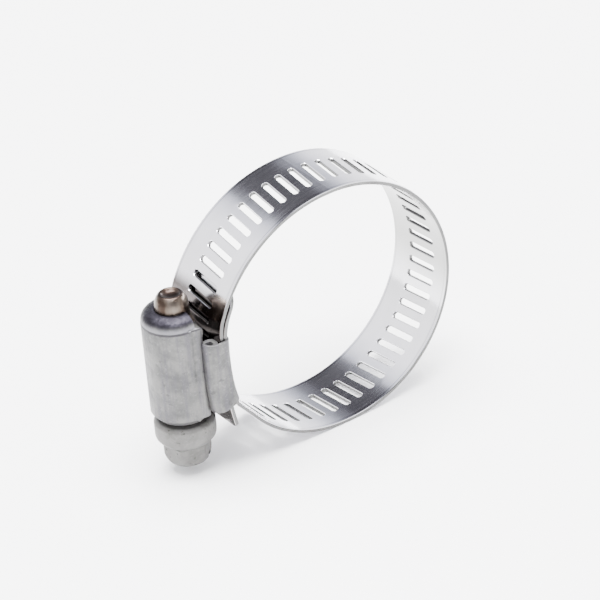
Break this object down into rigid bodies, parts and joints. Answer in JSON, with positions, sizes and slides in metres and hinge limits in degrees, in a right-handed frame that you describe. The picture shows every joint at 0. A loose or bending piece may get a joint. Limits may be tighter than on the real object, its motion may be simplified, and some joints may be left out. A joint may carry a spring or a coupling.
{
  "type": "hose clamp",
  "caption": "Worm-drive hose clamp with a slotted steel band, a barrel housing on a saddle, and a hex-head worm screw that tightens the band.",
  "frame": {"origin": "centre of the hose bore, halfway across the band", "axes": "+Y along the hose bore, +Z along the screw towards its tip, the housing on the -X side"},
  "size_m": [0.0487, 0.0138, 0.0392],
  "materials": {
    "band_steel": "bright rolled stainless steel, fine lines along the band",
    "housing_zinc": "matte zinc-grey pressed sheet",
    "screw_zinc": "dull plated, lightly pitted, with a bronze tint on the tip"
  },
  "bodies": {
    "housing": {"housing_cover": "housing_zinc", "saddle": "housing_zinc", "band_loop": "band_steel"},
    "screw": {"worm_screw": "screw_zinc"},
    "band_end": {"band_free_end": "band_steel"}
  },
  "joints": [
    {"name": "screw_turn", "type": "hinge", "parent": "housing", "child": "screw", "pos_m": [-0.0243, 0, 0], "axis": [0, 0, 1], "range_deg": [-360, 360]},
    {"name": "band_feed", "type": "hinge", "parent": "housing", "child": "band_end", "pos_m": [0.03946, 0, 0], "axis": [0, -1, 0], "range_deg": [-2.21, 2.21], "deforming": ["band_loop"]}
  ],
  "couplings": [
    {"joint": "band_feed", "follows": "screw_turn", "ratio": 0.0061275}
  ]
}
